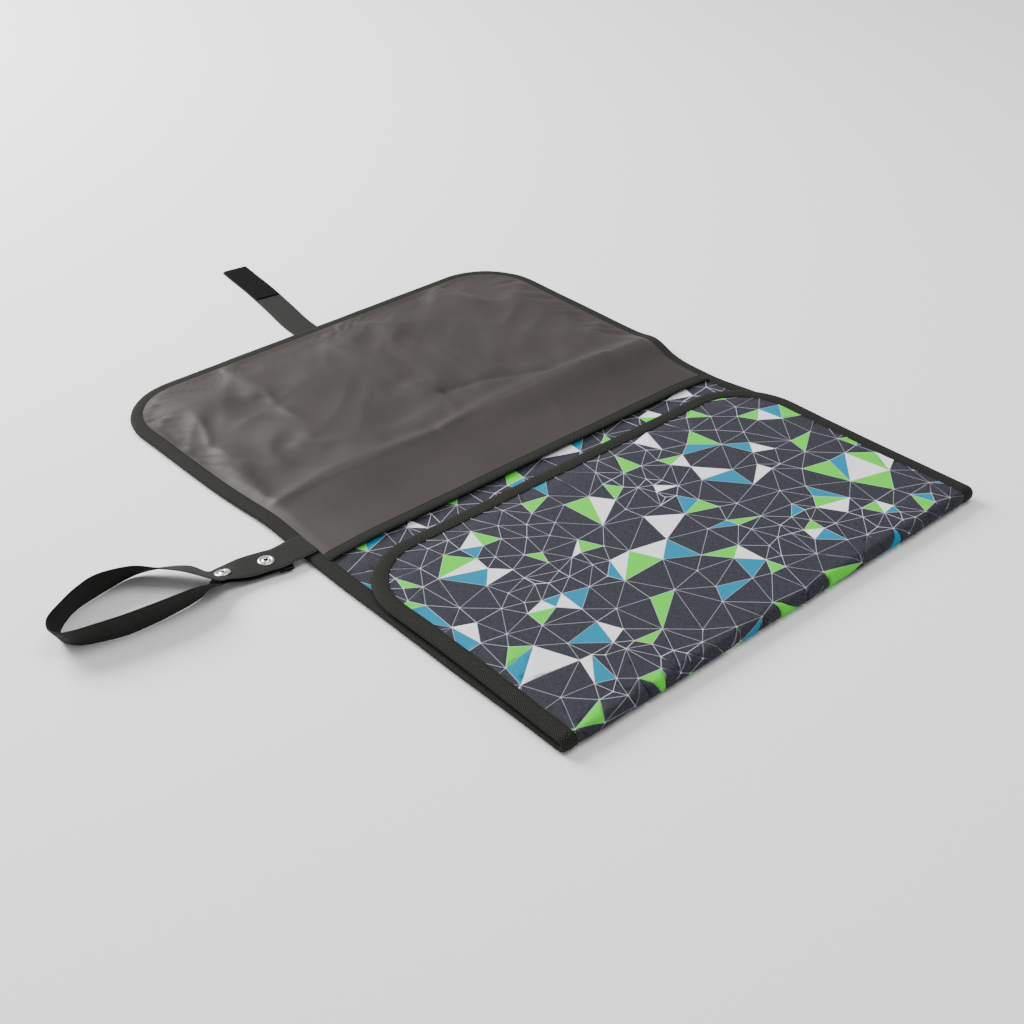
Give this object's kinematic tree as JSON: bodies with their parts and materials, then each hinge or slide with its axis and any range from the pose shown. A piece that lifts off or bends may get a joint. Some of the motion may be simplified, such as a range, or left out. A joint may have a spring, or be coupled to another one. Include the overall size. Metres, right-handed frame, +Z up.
{
  "type": "folding baby changing mat",
  "caption": "Folding padded changing mat: a folded-up front panel, a flap with a nylon slip pocket, a hook-and-loop closure strap, and a wrist strap held by snap fasteners.",
  "frame": {"origin": "centre of the back panel's resting face, on the floor, halfway between the bottom fold and the flap fold", "axes": "+X across the mat to the right, +Y from the bottom fold to the flap's free edge and the closure strap, +Z up"},
  "size_m": [0.6323, 0.7349, 0.0252],
  "materials": {
    "printed_cloth": "heathered slate polyester with a printed network of pale lines and coloured triangles",
    "black_tape": "herringbone binding tape",
    "pocket_nylon": "satin lining nylon",
    "foam": "thin polyester wadding",
    "black_webbing": "ribbed webbing",
    "hook_and_loop": "hook and loop tape",
    "nickel": "nickel-plated brass"
  },
  "bodies": {
    "back": {"back_outer_shell": "printed_cloth", "back_foam": "foam", "back_inner_lining": "printed_cloth", "back_binding_left": "black_tape", "back_binding_right": "black_tape", "loop_patch": "hook_and_loop", "pocket_mouth_panel": "pocket_nylon", "pocket_mouth_binding": "black_tape", "wrist_strap_sewn_end": "black_webbing"},
    "front": {"front_outer_shell": "printed_cloth", "front_foam": "foam", "front_inner_lining": "printed_cloth", "front_binding": "black_tape", "bottom_fold_shell": "printed_cloth", "bottom_fold_foam": "foam", "bottom_fold_lining": "printed_cloth", "bottom_fold_binding_left": "black_tape", "bottom_fold_binding_right": "black_tape"},
    "flap": {"flap_outer_shell": "printed_cloth", "flap_foam": "foam", "flap_inner_lining": "printed_cloth", "flap_binding": "black_tape", "pocket_flap_panel": "pocket_nylon", "closure_strap_root": "black_webbing", "flap_fold_shell": "printed_cloth", "flap_fold_foam": "foam", "flap_fold_lining": "printed_cloth", "flap_fold_binding_left": "black_tape", "flap_fold_binding_right": "black_tape", "pocket_fold_panel": "pocket_nylon"},
    "strap_middle": {"closure_strap_middle": "black_webbing", "hook_patch_middle": "hook_and_loop"},
    "strap_tip": {"closure_strap_tip": "black_webbing", "hook_patch_tip": "hook_and_loop"},
    "wrist_strap": {"wrist_strap_webbing": "black_webbing", "snap_ring_inner": "nickel", "snap_ring_outer": "nickel", "snap_socket_inner": "nickel", "snap_socket_outer": "nickel"},
    "wrist_free_end": {"wrist_strap_free_end": "black_webbing", "snap_stud_inner": "nickel", "snap_stud_outer": "nickel", "snap_post_inner": "nickel", "snap_post_outer": "nickel"}
  },
  "joints": [
    {"name": "flap_fold", "type": "hinge", "parent": "back", "child": "flap", "pos_m": [0, 0.1625, 0.01295], "axis": [1, 0, 0], "range_deg": [0, 180], "deforming": ["flap_fold_shell", "flap_fold_foam", "flap_fold_lining", "flap_fold_binding_left", "flap_fold_binding_right", "pocket_fold_panel"]},
    {"name": "front_panel_fold", "type": "hinge", "parent": "back", "child": "front", "pos_m": [0, -0.1613, 0.0064], "axis": [1, 0, 0], "range_deg": [0, 180], "deforming": ["bottom_fold_shell", "bottom_fold_foam", "bottom_fold_lining", "bottom_fold_binding_left", "bottom_fold_binding_right"]},
    {"name": "closure_strap_fold", "type": "hinge", "parent": "flap", "child": "strap_middle", "pos_m": [0, 0.4895, 0.0015], "axis": [-1, 0, 0], "range_deg": [-90, 0]},
    {"name": "closure_strap_tip_fold", "type": "hinge", "parent": "strap_middle", "child": "strap_tip", "pos_m": [0, 0.5144, 0.003], "axis": [-1, 0, 0], "range_deg": [-90, 0]},
    {"name": "wrist_strap_swing", "type": "hinge", "parent": "back", "child": "wrist_strap", "pos_m": [-0.2235, 0.129, 0.0077], "axis": [0, 1, 0], "range_deg": [0, 90]},
    {"name": "wrist_snap_release", "type": "slide", "parent": "wrist_strap", "child": "wrist_free_end", "axis": [0, 0, 1], "range_m": [-0.0021, 0]}
  ],
  "couplings": [
    {"joint": "closure_strap_tip_fold", "follows": "closure_strap_fold", "ratio": 1}
  ]
}
